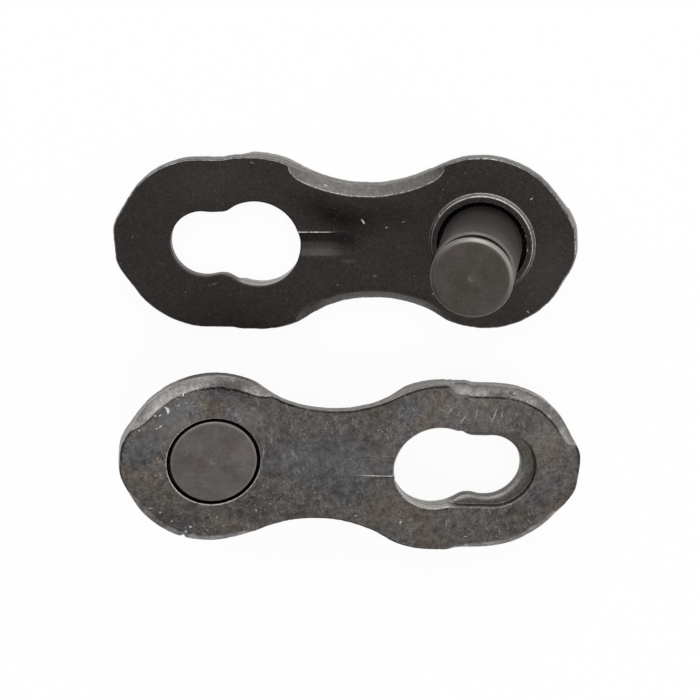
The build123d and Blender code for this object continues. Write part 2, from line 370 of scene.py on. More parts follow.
def keyhole_section(seed):
    """The section of the slot's edge, from the inner face down to the ledge and the outer face."""
    def section(place, inwards):
        up, floor = Vector((0, 0, 1)), LEDGE_DEPTH
        wall, wall_inwards = ledge_wall(place, inwards)
        ledge = (wall - place).length
        share = min(1, ledge / LEDGE_FULL)
        share = share * share * (3 - 2 * share)
        place = place + inwards * uneven(place, seed, *SLOT_WANDER)
        if ledge == 0:
            wall = place

        def level(plain, on_ledge):
            return up * (plain + (on_ledge - plain) * share)

        over = (wall - place).normalized() if ledge > 0 else inwards
        lip, cove = min(LIP, 0.4 * ledge), min(COVE, 0.3 * ledge)
        torn = THICKNESS - SLOT_TORN_FROM
        margin = EDGE + GUARD + GUARD
        pierced = (0, PIERCED * (1 - PIERCED_LOSS * share), 0)
        ledge_side = (0, PIERCED * (1 - LEDGE_WALL_SHADE * share), 0)
        return [
            (place + inwards * margin + up * THICKNESS, 0, 0, FACE),
            (place + inwards * EDGE + up * THICKNESS, 0.025, 0, FACE),
            (place + up * (THICKNESS - EDGE), 0.025, 0, pierced),
            (place + up * torn, 0.02, TEAR_GRIME, pierced),
            (place + inwards * FRACTURE + up * (torn - TEAR), 0.02, 0, pierced),
            (place + level(floor + 0.05, floor + 0.7 * lip), 0.05, 0.15 * share, LEDGE_LIP),
            (place + over * lip + level(floor + 0.02, floor), 0.06, 0, LEDGE_FLOOR),
            # painted shade in the corner at the foot of the ledge's wall
            (wall - over * cove + level(floor - 0.02, floor), 0.03, -0.5 * share, ledge_side),
            (wall + level(floor - 0.06, floor - cove), 0.03, -0.8 * share, ledge_side),
            (wall + up * EDGE, 0.025, 0.4 * (1 - share), ledge_side),
            (wall + wall_inwards * EDGE, 0.025, 0.3 * (1 - share), FACE),
            (wall + wall_inwards * margin, 0, 0, FACE),
        ]
    return section


COLLAR_PAINTED_SHADE_SIDE = Vector((0.5, 0.85, 0))     # side of the collar painted darker, the side away from the light
COLLAR_RUB_AND_HIGHLIGHT = (0.55, 0.45)              # how bare it is at its flanks, and how much it is painted brighter towards the light and darker away from it


def pin_hole_section(place, away):
    """The section of the pin's end of the plate: rivet recess, hole, open ring and collar."""
    def at(radius, height):
        return away * radius + Vector((0, 0, height))

    top = THICKNESS + COLLAR_HEIGHT
    # the collar's rub is real wear, with a painted highlight on its lit side and painted shade on the other
    rubbed = COLLAR_RUB_AND_HIGHLIGHT[0] - COLLAR_RUB_AND_HIGHLIGHT[1] * away.dot(COLLAR_PAINTED_SHADE_SIDE)
    slope = tuple(share * rubbed for share in COLLAR)
    return [
        (at(RIVET_RECESS + 0.1 + GUARD, 0), 0, 0, FACE),
        (at(RIVET_RECESS + RIVET_EDGE, 0), 0.025, 0.6, FACE),
        (at(RIVET_RECESS, RIVET_EDGE), 0.025, 0, DARKENED),
        (at(RIVET_RECESS, RIVET_DEPTH), 0.03, 0, DARKENED),
        (at(TENON, RIVET_DEPTH), 0.01, 0, DARKENED),
        (at(TENON, GAP_FLOOR), 0.01, 0, DARKENED),
        (at(GAP_RADIUS, GAP_FLOOR), 0.04, 0, DARKENED),
        (at(GAP_RADIUS, top - COLLAR_EDGE), 0.02, 0, FACE),
        (at(GAP_RADIUS + COLLAR_EDGE, top), 0.02, 0.3, FACE),
        (at(COLLAR_TOP, top), 0.035, 0.7 * rubbed, slope),
        (at(COLLAR_RADIUS, THICKNESS), 0.02, 0.6 * rubbed, FACE),
        (at(COLLAR_RADIUS + 0.06 + GUARD, THICKNESS), 0, 0, FACE),
    ]


def fill(bm, rings, up):
    """Closes a face of the plate between its edge rings. It shades flat."""
    made = bmesh.ops.triangle_fill(
        bm, use_beauty=True, edges=[e for ring in rings for e in ring], normal=(0, 0, up)
    )
    for f in made["geom"]:
        if isinstance(f, bmesh.types.BMFace):
            f.smooth = False


ON_FACE, TOUCHING = 1e-4, 1e-5         # mm within which a point is on a face or on another point


def score(bm, height, xs, ys):
    """Cuts a face of the plate behind the slot along the lines that a pressed mark needs."""
    faces = [
        f for f in bm.faces
        if not f.smooth and abs(f.calc_center_median().z - height) < ON_FACE
        and min(v.co.x for v in f.verts) < xs[-1] and max(v.co.x for v in f.verts) > xs[0]
        and min(v.co.y for v in f.verts) < ys[-1] and max(v.co.y for v in f.verts) > ys[0]
    ]
    cuts = [((x, 0, 0), (1, 0, 0)) for x in xs] + [((0, y, 0), (0, 1, 0)) for y in ys]
    for place, across in cuts:
        edges = {e for f in faces for e in f.edges}
        verts = {v for f in faces for v in f.verts}
        cut = bmesh.ops.bisect_plane(
            bm, geom=[*faces, *edges, *verts], dist=TOUCHING, plane_co=place, plane_no=across
        )
        faces = [g for g in cut["geom"] if isinstance(g, bmesh.types.BMFace)]


def press(bm, pressed):
    """Gives the vertices of a pressed mark their heights, and the bare metal and the painted highlight and
    shade on it.
    """
    finish = bm.verts.layers.float_color["finish"]
    grime_and_shade = bm.verts.layers.float["grime_and_shade"]
    for v in bm.verts:
        sunk, mark = pressed(v.co)
        v.co.z += sunk
        if mark:
            bare_and_highlight, coined, sheared, outside = v[finish]
            v[finish] = (max(bare_and_highlight, mark), coined, sheared, outside)
            v[grime_and_shade] = max(v[grime_and_shade], -mark)


def channel(place):
    """How the inner face is pressed in behind the slot: steep under a burr on one side, and
    rising gently to the other."""
    across = (place.y + CHANNEL_WIDTH / 2) / CHANNEL_WIDTH
    run = (place.x - (WIDE_X - WIDE_RADIUS - CHANNEL_LENGTH)) / CHANNEL_LENGTH
    if place.z < THICKNESS / 2 or place.x > WIDE_X or run <= 0 or not -BURR < across < 1:
        return 0, 0
    fade = min(1, run / CHANNEL_FADE)
    fade = fade * fade * (3 - 2 * fade)
    depth_share = min(1, (place.z - THICKNESS / 2) / (THICKNESS / 2 - EDGE)) * fade
    if across <= 0:
        ridge = 1 - abs(2 * across / BURR + 1)
        # the burr's bare line, painted bright enough to stand for its highlight as well
        bare_and_highlight = min(1, max(0, run - BURR_BARE[0]) / (BURR_BARE[1] - BURR_BARE[0]))
        return BURR_HEIGHT * ridge * depth_share, BURR_SHINE * ridge * bare_and_highlight
    if across < CHANNEL_VALLEY:
        share = 1 - (1 - across / CHANNEL_VALLEY)**CHANNEL_STEEP
    else:
        share = 1 - ((across - CHANNEL_VALLEY) / (1 - CHANNEL_VALLEY))**CHANNEL_GENTLE
    return -CHANNEL_DEPTH * share * depth_share, 0


def band(place):
    """How the outer face is pressed in behind the slot: a shallow wedge, deepest at the slot and
    along one side, with a painted highlight on its deep wall and painted shade lines along its edges."""
    across = (place.y + BAND_WIDTH / 2) / BAND_WIDTH
    run = (place.x - (WIDE_X - WIDE_RADIUS - BAND_LENGTH)) / BAND_LENGTH
    if place.z > THICKNESS / 2 or place.x > WIDE_X or run < 0 or not -0.1 < across < 1.1:
        return 0, 0
    depth_share = min(1, run) * min(1, (THICKNESS / 2 - place.z) / (THICKNESS / 2 - EDGE))
    shallow_wall = min(1, max(0, across / BAND_WALLS[0]))
    deep_wall = min(1, max(0, (BAND_EDGE - across) / BAND_WALLS[1]))
    mark = 0
    # each line paints a highlight above zero and shade below zero
    for low, high, painted_light, growth in BAND_LINES:
        if low < across < high:
            mark = painted_light * min(1, run / growth)
    depth = BAND_DEPTH * (BAND_SLOPE + (1 - BAND_SLOPE) * across)
    return depth * (shallow_wall * deep_wall) * depth_share, mark


# Where a face is cut so that its mark can take form, as shares of the mark's length and width
CHANNEL_CUTS = (0, 0.07, 0.14, 0.21, 0.28, 0.35, 0.42, 0.48, 0.55, 0.7, 0.85, 1, 1.1)
CHANNEL_CUTS_ACROSS = (-BURR, -BURR / 2, 0, 0.02, *[0.06 * i for i in range(1, 17)], 1)
BAND_CUTS = (0, 0.1, 0.2, 0.3, 0.4, 0.7, 1, 1.1)
BAND_CUTS_ACROSS = (-0.04, -0.02, 0, 0.02, 0.04, 0.5, 0.96, 0.98, 1, 1.02, 1.04, 1.06)


def half_seat(mount):
    """A half's place in the row frame, from millimetres in its own, by the mount on its pin."""
    mounts = {m["name"]: m for m in frame["record"]["mounts"]}
    up = Vector(mounts[mount]["axis"]).normalized()
    lies_level = abs(up.z) > 0.99999
    across = Vector((0, -1, 0)) if lies_level else up.cross((0, 0, -1)).normalized()
    along = across.cross(up)
    middle = mounts["first_pin"]["pos_m"][2]
    origin = Vector(mounts[mount]["pos_m"]) - up * middle
    turn = Matrix((along, across, up)).transposed().to_4x4()
    return Matrix.Translation(origin) @ turn @ Matrix.Scale(MM, 4)


def make_plate(name, seat, seed, nicks):
    """One plate as a closed mesh, laid in its seat."""
    bm = bmesh.new()
    bm.verts.layers.int.new("number")
    bm.verts.layers.float_color.new("finish")
    bm.verts.layers.float.new("grime_and_shade")
    finish = bm.verts.layers.float_color["finish"]
    outer, inner = [], []
    for draw, section, spine in (
        (outline, outline_section(seed, nicks), (0, PITCH)),
        (keyhole, keyhole_section(seed + 5), (WIDE_X, PITCH)),
        (pin_hole, pin_hole_section, (0, 0)),
    ):
        old = set(bm.edges)
        draw(bm)
        first, last = rim(bm, [e for e in bm.edges if e not in old], section, spine)
        outer.append(last if draw is keyhole else first)
        inner.append(first if draw is keyhole else last)
    for f in bm.faces:
        f.smooth = True
    fill(bm, outer, -1)
    fill(bm, inner, 1)

    start = WIDE_X - WIDE_RADIUS
    for height, length, cuts, width, cuts_across, pressed in (
        (THICKNESS, CHANNEL_LENGTH, CHANNEL_CUTS, CHANNEL_WIDTH, CHANNEL_CUTS_ACROSS, channel),
        (0, BAND_LENGTH, BAND_CUTS, BAND_WIDTH, BAND_CUTS_ACROSS, band),
    ):
        xs = [start - length * (1 - share) for share in cuts]
        ys = [width * (share - 0.5) for share in cuts_across]
        score(bm, height, xs, ys)
        press(bm, pressed)

    for v in bm.verts:
        bare_and_highlight, coined, sheared, _ = v[finish]
        v[finish] = (bare_and_highlight, coined, sheared, 1 - min(1, max(0, v.co.z / THICKNESS)))
    bmesh.ops.recalc_face_normals(bm, faces=bm.faces)
    bmesh.ops.transform(bm, matrix=seat, verts=bm.verts)
    mesh = bpy.data.meshes.new(name)
    bm.to_mesh(mesh)
    bm.free()
    plate = bpy.data.objects.new(name, mesh)
    bpy.context.scene.collection.objects.link(plate)
    return plate


def linear(hex_colour):
    """An sRGB hex colour as linear values with full alpha."""
    parts = [int(hex_colour[i:i + 2], 16) / 255 for i in (1, 3, 5)]
    return (*[c / 12.92 if c <= 0.04045 else ((c + 0.055) / 1.055)**2.4 for c in parts], 1)


def node(tree, kind, inputs=(), out=0, **settings):
    """Adds a shader node and gives one of its outputs. Settings are its properties, and inputs
    give its sockets a value or a link."""
    made = tree.nodes.new("ShaderNode" + kind)
    for name, value in settings.items():
        setattr(made, name, value)
    for socket, value in dict(inputs).items():
        if isinstance(value, bpy.types.NodeSocket):
            tree.links.new(value, made.inputs[socket])
        else:
            made.inputs[socket].default_value = value
    return made.outputs[out]


def new_material(name):
    """An empty material: its node tree and its surface shader."""
    made = bpy.data.materials.new(name)
    made.use_nodes = True
    tree = made.node_tree
    return made, tree, next(n for n in tree.nodes if n.type == "BSDF_PRINCIPLED")


# Black-oxided spring steel: a thin dark conversion layer over bright steel, dark and satin. The
# outer face has rubbed to a lighter grey with brown and slate casts, short scratches and chips.
plate_steel, tree, surface = new_material("black_oxide_spring_steel")
place = node(tree, "TexCoord", out="Object")
# In the finish, red is how bare, with painted highlights on the band's wall, the burr and the
# collar's lit side, green how coined, blue how bright from shearing, dimmed as painted shade on
# the ledge's wall, and alpha how near the outer face
finish = node(tree, "Attribute", attribute_name="finish").node.outputs
zones = node(tree, "SeparateColor", {"Color": finish["Color"]}).node.outputs
outside = node(tree, "MapRange", {"Value": finish["Alpha"], "From Min": 0.3, "From Max": 0.9})
# grime at the tears, darkening in the pin's recess, and painted shade in the bevel's fold, the ledge's
# corner and along the band's edges
grime_and_shade = node(tree, "Attribute", out="Fac", attribute_name="grime_and_shade")

# Cloudy patterns: size of the largest forms in mm, detail, roughness, and the values that a range
# of the noise gives. The layer's casts are 1 to 3 mm across, and the broken patches in it 0.4 mm.
clouds = {}
for name, size, detail, roughness, low, high, least, most in (
    ("brown or slate", 1.8, 6, 0.6, 0.42, 0.6, 0, 1),
    ("neutral", 2.6, 3, 0.5, 0.4, 0.6, 0, 1),
    ("bloom", 0.28, 4, 0.7, 0.5, 0.66, 0, 1),
    ("patches", 0.34, 6, 0.74, 0.3, 0.7, 0, 1),
    ("rubbed", 0.36, 6, 0.74, 0.3, 0.7, 0.4, 1.62),
    ("mottled", 0.5, 5, 0.75, 0.46, 0.66, 0, 1),
    ("worn", 0.16, 3, 0.6, 0.3, 0.55, 0, 1),
    ("speckle", 0.12, 4, 0.7, 0.3, 0.7, 0.7, 1.3),
):
    cloud = node(tree, "TexNoise", {
        "Vector": place, "Scale": 1 / (size * MM), "Detail": detail, "Roughness": roughness
    })
    clouds[name] = node(tree, "MapRange", {
        "Value": cloud, "From Min": low, "From Max": high, "To Min": least, "To Max": most
    })
grain = cloud.node.outputs     # the speckle's own noise, finer than all the others

# The colour, layer on layer. A Mix node's sockets go by number here: 0 is the amount, 2 and 3 are
# the numbers and 6 and 7 the colours that it mixes.
colour = linear("#5c554e")
for amount, cast in ((clouds["brown or slate"], "#525154"), (clouds["neutral"], "#56514d")):
    colour = node(tree, "Mix", {0: amount, 6: colour, 7: linear(cast)}, 2, data_type="RGBA")
# The inner face has kept its dark layer, with a faint brown bloom
within = node(tree, "Mix", {0: clouds["bloom"], 6: linear("#3a3636"), 7: linear("#423a36")}, 2,
              data_type="RGBA")
colour = node(tree, "Mix", {0: outside, 6: within, 7: colour}, 2, data_type="RGBA")

# The waist of the second plate has taken a slate cast, full at its middle
SLATE_X, SLATE_REACH = 5.2, (4.5, 3.2, 2)     # mm from the pin, and mm that it reaches each way
SLATE_STRENGTH = 1.4
spot, turn, _ = (half_seat("second_pin") @ Matrix.Translation((SLATE_X, 0, 0))).decompose()
own = node(tree, "Mapping", {
    "Vector": place, "Location": spot, "Rotation": turn.to_euler(),
    "Scale": [reach * MM for reach in SLATE_REACH],
}, vector_type="TEXTURE")
slate = node(tree, "TexGradient", {"Vector": own}, "Fac", gradient_type="SPHERICAL")
slate = node(tree, "Math", {0: slate, 1: SLATE_STRENGTH}, operation="MULTIPLY", use_clamp=True)
colour = node(tree, "Mix", {0: slate, 6: colour, 7: linear("#545353")}, 2, data_type="RGBA")

# The outer face is rubbed unevenly, the inner face hardly at all. Coined and sheared metal is paler
even = node(tree, "MapRange", {"Value": outside, "To Min": 0.8, "To Max": 0})
rubbed = node(tree, "Mix", {0: even, 2: clouds["rubbed"], 3: 1.0})
colour = node(tree, "VectorMath", {0: colour, 1: rubbed}, operation="MULTIPLY")
coined = node(tree, "Mix", {0: clouds["mottled"], 6: linear("#706d6b"), 7: linear("#a5a2a0")}, 2,
              data_type="RGBA")
coined = node(tree, "Mix", {0: outside, 6: linear("#625f5d"), 7: coined}, 2, data_type="RGBA")
colour = node(tree, "Mix", {0: zones["Green"], 6: colour, 7: coined}, 2, data_type="RGBA")
colour = node(tree, "Mix", {0: zones["Blue"], 6: colour, 7: linear("#aaa7a3")}, 2, data_type="RGBA")
colour = node(tree, "VectorMath", {0: colour, 1: clouds["speckle"]}, operation="MULTIPLY")

# Scratches from the work bin, as (direction in degrees, length, width, place of the pattern)
SCRATCHES = ((105, 0.7, 0.05, 3), (-30, 0.8, 0.045, 11), (35, 0.6, 0.04, 29))
SCRATCHED_PATCH = 1.4      # mm across the patches that they lie in
light = 0.0
for angle, length, width, offset in SCRATCHES:
    turned = node(tree, "Mapping", {
        "Vector": place, "Location": (offset * MM, 0, 0), "Rotation": (0, 0, radians(angle)),
        "Scale": (length * MM, width * MM, width * MM),
    }, vector_type="TEXTURE")
    streaks = node(tree, "TexNoise", {"Vector": turned, "Scale": 1.0, "Detail": 2})
    sharp = node(tree, "MapRange", {"Value": streaks, "From Min": 0.58, "From Max": 0.7})
    moved = node(tree, "Mapping", {"Vector": place, "Location": (offset * MM, 0, 0)})
    where = node(tree, "TexNoise", {"Vector": moved, "Scale": 1 / (SCRATCHED_PATCH * MM), "Detail": 1})
    there = node(tree, "MapRange", {"Value": where, "From Min": 0.46, "From Max": 0.62})
    light = node(tree, "Math", {0: sharp, 1: there, 2: light}, operation="MULTIPLY_ADD")
shown = node(tree, "MapRange", {"Value": outside, "To Min": 0.02, "To Max": 0.2})
light = node(tree, "Math", {0: light, 1: shown}, operation="MULTIPLY")

# Flecks, as (spacing, radius, share of them that shows, brightness on the inner and on the outer
# face). The grain breaks their outlines.
RAGGED = 0.16              # mm by which the grain shifts an outline
shift = node(tree, "VectorMath", {0: grain["Color"], 1: (0.5, 0.5, 0.5)}, operation="SUBTRACT")
ragged = node(tree, "VectorMath", {
    0: shift, 1: (RAGGED * MM,) * 3, 2: place
}, operation="MULTIPLY_ADD")
for spacing, radius, kept, inner, outer in (
    (0.8, 0.05, 0.25, 0.16, 0.6), (0.3, 0.04, 0.35, 0.1, 0.25), (0.17, 0.035, 0.35, 0.05, 0.1),
):
    cells = node(tree, "TexVoronoi", {"Vector": ragged, "Scale": 1 / (spacing * MM)}).node.outputs
    picked = node(tree, "SeparateColor", {"Color": cells["Color"]})
    picked = node(tree, "Math", {0: picked, 1: kept}, operation="LESS_THAN")
    near = node(tree, "MapRange", {
        "Value": cells["Distance"], "From Min": radius / spacing, "From Max": 0.4 * radius / spacing,
    })
    strength = node(tree, "MapRange", {"Value": outside, "To Min": inner, "To Max": outer})
    fleck = node(tree, "Math", {0: near, 1: strength}, operation="MULTIPLY")
    light = node(tree, "Math", {0: fleck, 1: picked, 2: light}, operation="MULTIPLY_ADD")

# Marks of handling, as (place along and across in the half's frame, length, width, direction in
# degrees, strength at the middle): chips and slivers where the layer has come off, scratches, and
# broad soft paler patches. Below zero it is a soft darker patch; on the second plate the two long
# dark patches along the -Y edge, at 0.1 and 12.9 mm, are painted shade where the face folds into
# its bevel.
MARKS = {
    "first_pin": (
        (5.33, -1.08, 0.3, 0.09, 117, 3), (-2.24, -2.1, 0.2, 0.06, 34, 1.2),
        (1.85, -1.36, 0.14, 0.08, 60, 1.5), (4.28, -0.8, 0.09, 0.07, 0, 1.5),
        (2.27, 2.35, 0.06, 0.05, 0, 1.5), (4.9, 1.5, 0.26, 0.2, 0, 0.15), (1.65, -2.53, 0.07, 0.05, 0, 1.2),
        (3.51, -1.04, 0.3, 0.04, 10, 0.4), (10.2, -3.82, 0.26, 0.06, -20, 0.6),
        (13.02, -2.35, 0.12, 0.05, 60, 0.4), (15.97, -0.36, 0.07, 0.05, 0, 0.6),
        (12.3, 1.9, 0.3, 0.05, 20, 0.3), (13.69, 2.32, 0.06, 0.05, 0, 0.8),
        (6.95, -2.7, 0.34, 0.12, -20, 0.5), (6.63, 1.93, 0.14, 0.07, 0, 0.5),
        (-1.98, 3.19, 0.15, 0.06, -35, 1.2), (-1.96, -0.35, 0.2, 0.1, 70, 3), (-2, 0.2, 0.22, 0.1, 100, 3),
        (-1.8, -0.8, 0.16, 0.1, 45, 3), (6.06, 0.8, 1, 0.24, 0, 0.06), (-2.7, 1.4, 4.6, 3, 60, 0.026),
        (12.4, -3, 6, 2.6, 0, 0.014), (7.4, 0.4, 2.4, 0.6, 0, 0.06), (4.8, -1.3, 5, 2, 0, -0.5),
        (6.1, -0.1, 1.8, 0.9, 0, -0.6), (6.8, -1.4, 5, 2.2, -26, -0.75),
    ),
    "second_pin": (
        (-2.23, -2.42, 0.34, 0.13, 75, 3), (-2.33, -2.56, 0.2, 0.07, 40, 2),
        (-2.55, -2.2, 0.2, 0.07, -35, 1.6), (-2.77, -2.15, 0.14, 0.09, 20, 1.2),
        (-1.8, -2.68, 0.3, 0.04, -30, 1.2), (-1.61, -3.2, 0.15, 0.08, 100, 2),
        (-2.95, -2.73, 0.16, 0.08, 60, 2.5), (-2.5, -1.65, 0.24, 0.06, -35, 2),
        (-2.66, -1.54, 0.12, 0.06, 0, 1.6), (-3.43, -1.4, 0.09, 0.07, 0, 1.8),
        (-2.97, -2.86, 0.2, 0.08, -60, 3), (-2.64, 2.37, 0.36, 0.045, 10, 1.1),
        (-2.21, 2.56, 0.1, 0.07, 0, 1.8), (-1.66, 2.99, 0.1, 0.06, 0, 1.8),
        (-0.78, 3.24, 0.22, 0.07, 20, 1.8), (-0.61, 3.6, 0.09, 0.06, 0, 1.8), (-0.96, 3.5, 0.2, 0.1, 50, 3),
        (0.38, 2.72, 0.09, 0.07, 0, 2), (2.12, 2.35, 0.08, 0.07, 0, 2), (0.69, 3.14, 0.14, 0.04, 70, 0.9),
        (4.72, 1.35, 0.09, 0.07, 0, 1.8), (6.71, 2.49, 0.1, 0.07, 0, 1.8), (7.3, -1.81, 0.09, 0.06, 0, 1.5),
        (8.84, 2.75, 0.1, 0.08, 0, 2.4), (12.23, 1.81, 0.2, 0.06, 60, 2), (11.95, 3.4, 0.16, 0.05, 10, 1.2),
        (13.38, -3.74, 0.1, 0.08, 0, 2.4), (10.98, 2.8, 0.6, 0.05, 88, 0.6),
        (12.56, -2.72, 0.95, 0.05, 103, 0.8), (12.9, -2.78, 0.7, 0.04, 95, 0.6),
        (11.15, -2.52, 0.7, 0.05, 118, 0.7), (11.7, -2.7, 0.75, 0.05, 100, 0.6),
        (10.5, -2.9, 0.5, 0.05, 115, 0.5), (2.5, -1.2, 0.7, 0.16, 85, 0.16),
        (3.55, -0.54, 0.6, 0.1, 80, 0.2), (3.16, -0.1, 1.1, 0.4, 85, 0.08),
        (2.2, -0.4, 0.7, 0.12, 88, 0.13), (-2.1, -1.9, 5, 2.6, -42, 0.1), (11, -2.9, 7, 2.6, 0, 0.05),
        (5, 0.5, 6, 6, 0, -0.22), (14, 2.6, 4.5, 3, -50, -0.26), (-1.4, 2.9, 4.6, 2.4, 30, -0.28),
        # the mark at (0.1, -3.85) is painted shade along the bevel's fold
        (-2.85, -2.75, 3.4, 0.9, -46, 0.55), (0.1, -3.85, 5, 1.3, 0, -1.1), (1.9, 1.9, 4.4, 2.6, 0, -0.3),
        (1.3, -2.1, 3, 1.8, 10, 0.08), (5.8, -0.1, 8, 2.4, 0, 0.05), (14.9, -1.6, 2.6, 2.2, 60, 0.07),
        # the mark at (12.9, -3.72) is painted shade along the bevel's fold
        (12.9, -3.72, 2.6, 0.42, 0, -0.8), (11, -4, 1.6, 0.9, 0, 0.35), (16.1, -1.9, 1.8, 0.8, 61, 0.35),
    ),
}
MARK_REACH = 0.4           # half a mark's extent square to the plate
SOFT_FROM = 0.2            # mm of width from which a mark has a smooth outline
dark = grime_and_shade
for half, marks in MARKS.items():
    face = THICKNESS if half == "first_pin" else 0
    for x, y, length, width, angle, strength in marks:
        laid = Matrix.Translation((x, y, face)) @ Matrix.Rotation(radians(angle), 4, "Z")
        spot, turn, _ = (half_seat(half) @ laid).decompose()
        own = node(tree, "Mapping", {
            "Vector": ragged if width < SOFT_FROM else place,
            "Location": spot, "Rotation": turn.to_euler(),
            "Scale": (length / 2 * MM, width / 2 * MM, MARK_REACH * MM),
        }, vector_type="TEXTURE")
        near = node(tree, "TexGradient", {"Vector": own}, "Fac", gradient_type="SPHERICAL")
        grown = node(tree, "Math", {0: near, 1: abs(strength), 2: light if strength > 0 else dark},
                     operation="MULTIPLY_ADD")
        light, dark = (grown, dark) if strength > 0 else (light, grown)
bare_and_highlight = node(tree, "Math", {0: zones["Red"], 1: clouds["worn"]}, operation="MULTIPLY")
light = node(tree, "Math", {0: bare_and_highlight, 1: light}, operation="ADD", use_clamp=True)
dark = node(tree, "Math", {0: dark, 1: 1.0}, operation="MINIMUM")
# dark is grime with painted shade; light is chips, scratches, flecks and bare metal, with painted
# highlights
for amount, over in ((dark, "#120f0e"), (light, "#dad8d5")):
    colour = node(tree, "Mix", {0: amount, 6: colour, 7: linear(over)}, 2, data_type="RGBA")
tree.links.new(colour, surface.inputs["Base Color"])
surface.inputs["Metallic"].default_value = 1.0
rough = node(tree, "MapRange", {"Value": clouds["patches"], "To Min": 0.36, "To Max": 0.52})
tree.links.new(rough, surface.inputs["Roughness"])

# The grain stands up and bare spots lie lower, 0.012 mm at most
GRAIN_HEIGHT, BARE_DROP = 0.012, -0.6
relief = node(tree, "Math", {0: light, 1: BARE_DROP, 2: grain["Fac"]}, operation="MULTIPLY_ADD")
bump = node(tree, "Bump", {"Height": relief, "Strength": 0.35, "Distance": GRAIN_HEIGHT * MM})
tree.links.new(bump, surface.inputs["Normal"])

# A nick in an edge is its place, half its width and its depth
for name, seed, nicks in (("first", 1, ()), ("second", 2, ((-1.07, 3.91, 0.12, 0.13),))):
    plate = make_plate(name + "_plate_finished", half_seat(name + "_pin"), seed, nicks)
    plate.data.materials.append(plate_steel)
    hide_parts(name + "_plate")
    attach(plate, "root")


# ---------------------------------------------------------------------------------------------
# The pins. Each is turned from bar: a thin tenon riveted flush into its own plate, a shaft that
# the chain's inner link turns on, and below its head a groove that the other plate grips.
# ---------------------------------------------------------------------------------------------

# Radius, height above the plate's outer face, and how bare the corner is
PIN_PROFILE = (
    (0, 0.02, 0), (0.1, 0, 0.2), (1.92, 0, 0.3), (1.96, 0.04, 0.3), (1.96, 0.35, 0), (1.6, 0.35, 0),
    (1.6, 0.67, 0), (1.72, 0.67, 0), (1.8, 0.92, 0), (1.8, 4.71, 0.25), (1.73, 4.78, 0.3),
    (1.48, 4.78, 0), (1.48, 5.32, 0), (1.8, 5.32, 0.2), (1.8, 5.49, 0.5), (1.65, 5.594, 0.15),
    (0.1, 5.594, 0.2), (0, 5.574, 0),
)
PIN_ROUNDING = 0.025
PIN_SPACING, PIN_STEPS = 0.1, 160      # mm between vertices along the profile, and steps round it
WEAR_REACH, CHAMFER_HIGHLIGHT = 0.035, 0.4  # mm round a corner that it wears over, and the painted highlight on the head's chamfer
HEAD_BEVEL = (1.66, 5.4)               # the head's chamfer is outside this radius, above this height
CHAMFER_LIT_SIDE = Vector((-0.6, -0.8))     # side of that chamfer that is painted bright, the side towards the light
SHAFT = (0.72, 4.7)                    # lowest and highest point of its bright-turned side


def make_pin(name, seat):
    """One pin as a closed turned mesh, laid in its seat."""
    bm = bmesh.new()
    line = [bm.verts.new((radius, 0, height)) for radius, height, _ in PIN_PROFILE]
    for a, b in zip(line, line[1:]):
        bm.edges.new((a, b))
    bmesh.ops.bevel(
        bm, geom=line[1:-1], offset=PIN_ROUNDING, offset_type="OFFSET", segments=3, profile=0.5,
        affect="VERTICES", material=-1, clamp_overlap=True,
    )
    for e in bm.edges[:]:
        pieces = round(e.calc_length() / PIN_SPACING)
        if pieces > 1:
            bmesh.ops.subdivide_edges(bm, edges=[e], cuts=pieces - 1)
    bmesh.ops.spin(
        bm, geom=bm.verts[:] + bm.edges[:], cent=(0, 0, 0), axis=(0, 0, 1), angle=2 * pi,
        steps=PIN_STEPS, use_merge=True,
    )
    bmesh.ops.remove_doubles(bm, verts=bm.verts, dist=TOUCHING)
    bmesh.ops.recalc_face_normals(bm, faces=bm.faces)
    turned = bm.verts.layers.float_color.new("turned")
    for v in bm.verts:
        radius, height = v.co.xy.length, v.co.z
        bare_and_highlight = max(
            wear * max(0, 1 - (Vector((radius, height)) - Vector((r, h))).length / WEAR_REACH)
            for r, h, wear in PIN_PROFILE
        )
        # painted highlight on the side of the head's chamfer that faces the light
        if radius > HEAD_BEVEL[0] and height > HEAD_BEVEL[1]:
            bare_and_highlight = max(bare_and_highlight, CHAMFER_HIGHLIGHT * v.co.xy.normalized().dot(CHAMFER_LIT_SIDE))
        bright = 1 if SHAFT[0] < height < SHAFT[1] else 0
        v[turned] = (bare_and_highlight, radius / 2, bright, min(1, max(0, 1 - height)))
    for f in bm.faces:
        f.smooth = True
    bmesh.ops.transform(bm, matrix=seat, verts=bm.verts)
    mesh = bpy.data.meshes.new(name)
    bm.to_mesh(mesh)
    bm.free()
    pin = bpy.data.objects.new(name, mesh)
    bpy.context.scene.collection.objects.link(pin)
    return pin


# Turned and blackened steel: smoother than the plates, with faint rings from the lathe on its
# ends, stains of the oxide bath, paler lines where the corners have rubbed, and a painted highlight
# on the lit side of the head's chamfer
pin_steel, tree, surface = new_material("turned_blackened_steel")
place = node(tree, "TexCoord", out="Object")
